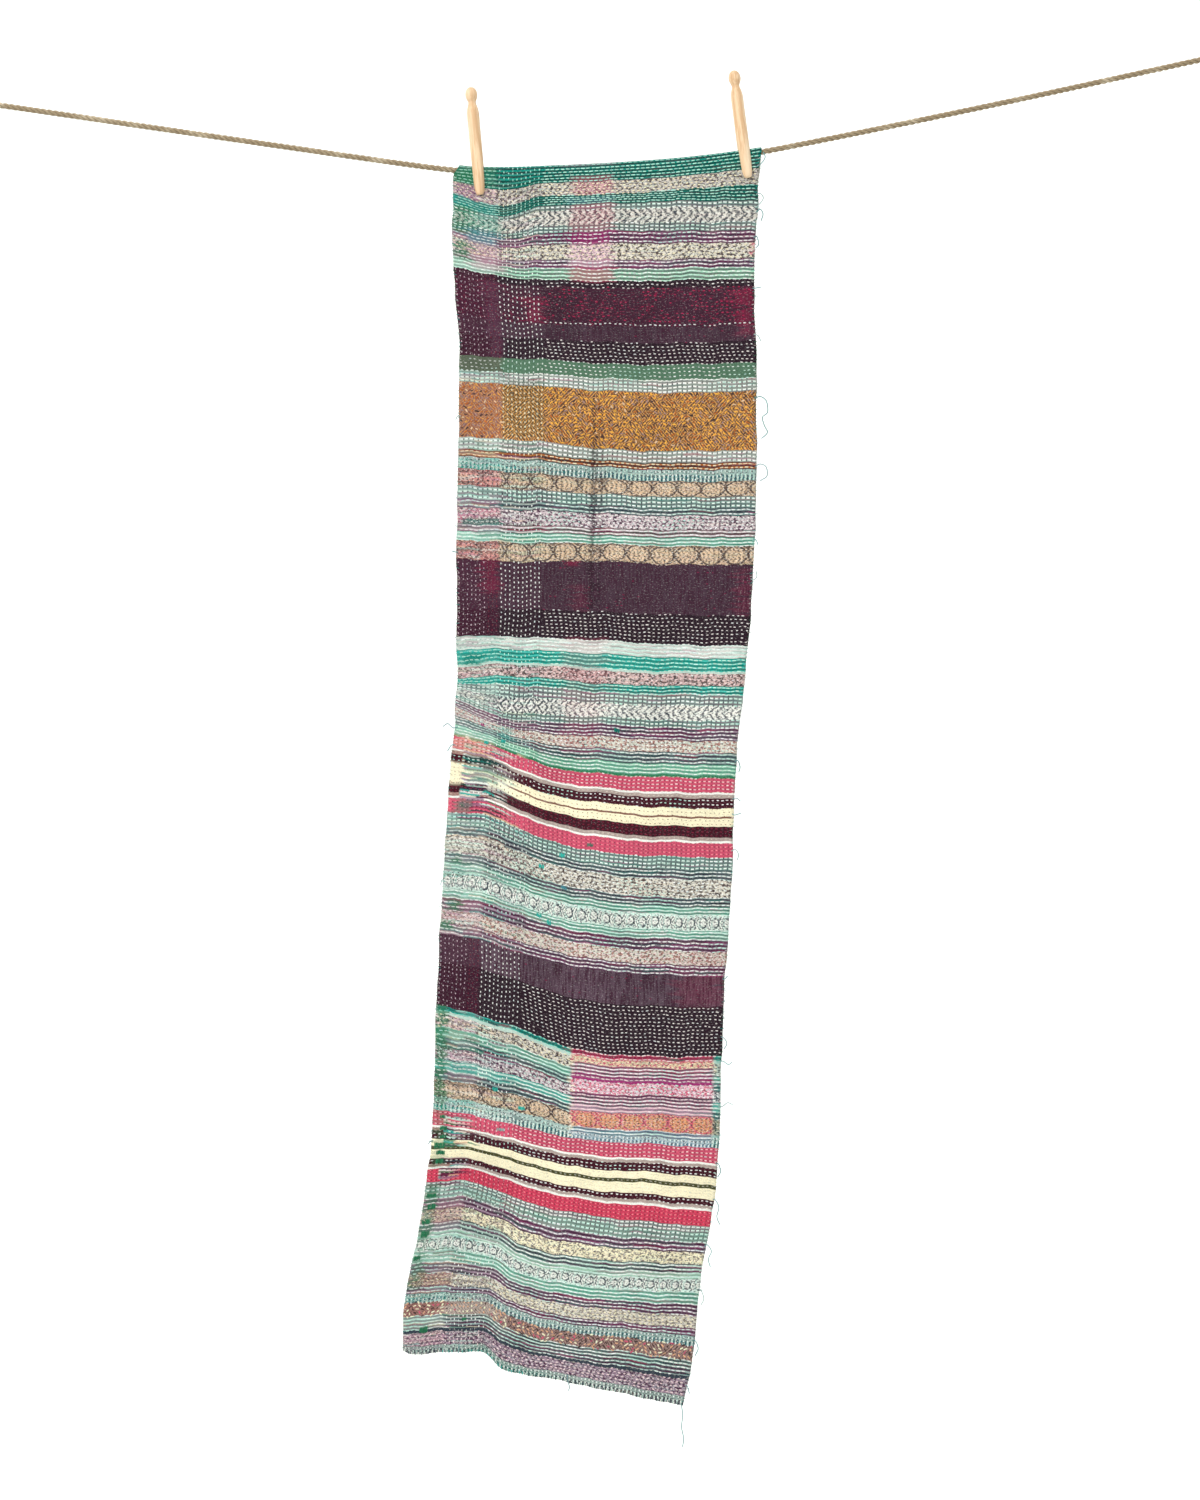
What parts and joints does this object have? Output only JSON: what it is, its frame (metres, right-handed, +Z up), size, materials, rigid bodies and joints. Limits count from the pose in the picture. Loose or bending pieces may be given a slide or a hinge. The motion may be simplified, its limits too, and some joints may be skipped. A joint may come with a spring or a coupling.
{
  "type": "kantha cloth on a pegged rope line",
  "caption": "Long hand-stitched striped cotton cloth, folded over a taut rope line at its head and pinched there by turned wooden dolly pegs.",
  "frame": {"origin": "centre of the rope eye at the line's left end, where the line is held", "axes": "+X along the line to its right end, +Z up, and the cloth's stitched face looks along -Y"},
  "size_m": [1.3139, 0.0226, 1.3706],
  "materials": {
    "stitched_cotton": "matt, striped and covered in running stitch",
    "hemp_rope": "matt laid fibre",
    "peg_wood": "sanded, unvarnished"
  },
  "bodies": {
    "root": {"kantha_cloth": "stitched_cotton", "line": "hemp_rope", "line_eye_left": "hemp_rope", "line_eye_right": "hemp_rope", "peg_left": "peg_wood", "peg_right": "peg_wood"}
  },
  "joints": []
}
